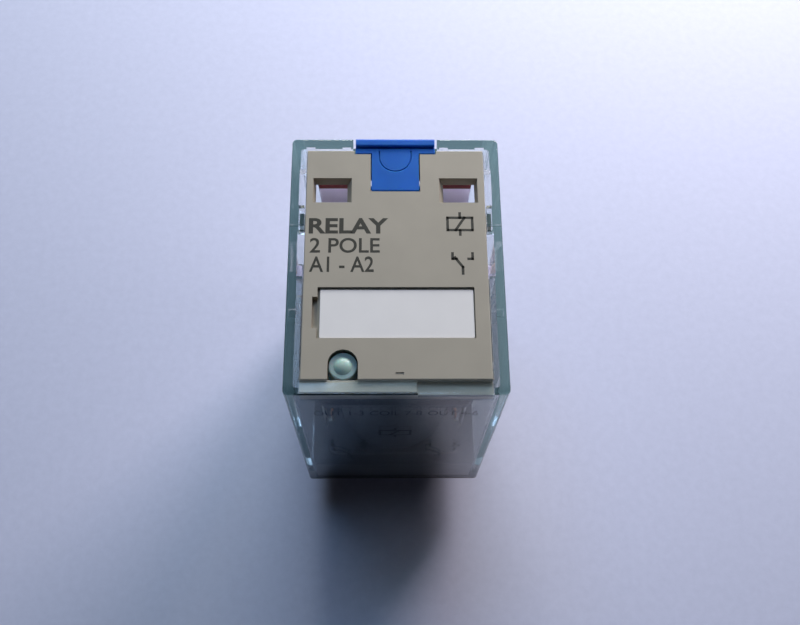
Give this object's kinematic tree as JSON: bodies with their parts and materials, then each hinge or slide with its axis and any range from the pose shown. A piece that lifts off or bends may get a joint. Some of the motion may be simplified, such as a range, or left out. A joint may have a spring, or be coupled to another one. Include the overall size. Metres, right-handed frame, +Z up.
{
  "type": "plug-in control relay",
  "caption": "Plug-in changeover relay with a clear cover, coil and armature, a lamp, flag windows and a latching test lever over its blades.",
  "frame": {"origin": "centre of the footprint, level with the blade tips", "axes": "+Z up through the top panel, +Y towards the lever's edge, +X to the right seen from the lamp's edge"},
  "size_m": [0.0216, 0.028, 0.0419],
  "materials": {
    "clear_cover": "clear moulded polycarbonate with a blue-green tint",
    "panel_grey": "fine matt texture, warm grey",
    "base_black": "moulded, satin",
    "lever_blue": "satin moulded, blue",
    "button_yellow": "satin moulded, yellow",
    "label_white": "blank write-on card",
    "flag_red": "moulded, matt",
    "card_pale": "moulded, satin, pale lavender grey",
    "blade_metal": "tinned copper alloy, bright",
    "spring_metal": "phosphor bronze strip",
    "silver_contact": "silver alloy, satin",
    "magnet_iron": "zinc-plated soft iron",
    "bobbin_plastic": "moulded, natural",
    "copper_wire": "enamelled copper, close wound",
    "coil_tape": "amber polyimide tape",
    "spring_steel": "music wire",
    "board_green": "glass-fibre board with solder mask",
    "lamp_clear": "water-clear epoxy, green",
    "resistor_tan": "conformal coat with colour bands",
    "diode_black": "moulded epoxy with a pale band",
    "braid_copper": "bare copper braid"
  },
  "bodies": {
    "housing": {"base": "base_black", "blade_coil_left": "blade_metal", "blade_coil_right": "blade_metal", "blade_common_left": "blade_metal", "blade_common_right": "blade_metal", "blade_nc_left": "blade_metal", "blade_nc_right": "blade_metal", "blade_no_left": "blade_metal", "blade_no_right": "blade_metal", "bobbin": "bobbin_plastic", "circuit_board": "board_green", "coil_wire_ends": "copper_wire", "component_leads": "blade_metal", "core": "magnet_iron", "cover": "clear_cover", "diode": "diode_black", "flexible_lead_left": "braid_copper", "flexible_lead_right": "braid_copper", "label": "label_white", "lamp": "lamp_clear", "lamp_leads": "blade_metal", "nc_contacts": "silver_contact", "no_contacts": "silver_contact", "pole_piece": "magnet_iron", "resistor": "resistor_tan", "return_spring": "spring_steel", "supply_wires": "blade_metal", "top_frame": "panel_grey", "winding": "copper_wire", "winding_tape": "coil_tape", "yoke": "magnet_iron"},
    "armature": {"armature": "magnet_iron", "card": "card_pale", "flags": "flag_red", "moving_contacts": "silver_contact", "contact_spring_left": "spring_metal", "contact_spring_right": "spring_metal"},
    "lever": {"lever": "lever_blue"},
    "test_button": {"test_button": "button_yellow"}
  },
  "joints": [
    {"name": "armature_swing", "type": "hinge", "parent": "housing", "child": "armature", "pos_m": [0, 0.0019, 0.0143], "axis": [1, 0, 0], "range_deg": [0, 3.2], "stiffness_Nm_per_rad": 0.02, "springref_deg": -8.59, "deforming": ["flexible_lead_left", "flexible_lead_right"]},
    {"name": "lever_flip", "type": "hinge", "parent": "housing", "child": "lever", "pos_m": [0, 0.00845, 0.0412], "axis": [1, 0, 0], "range_deg": [0, 90]},
    {"name": "button_press", "type": "slide", "parent": "housing", "child": "test_button", "axis": [0, 0, -1], "range_m": [0, 0.0008]}
  ],
  "couplings": [
    {"joint": "button_press", "follows": "armature_swing", "m_per_rad": 0.01414}
  ]
}
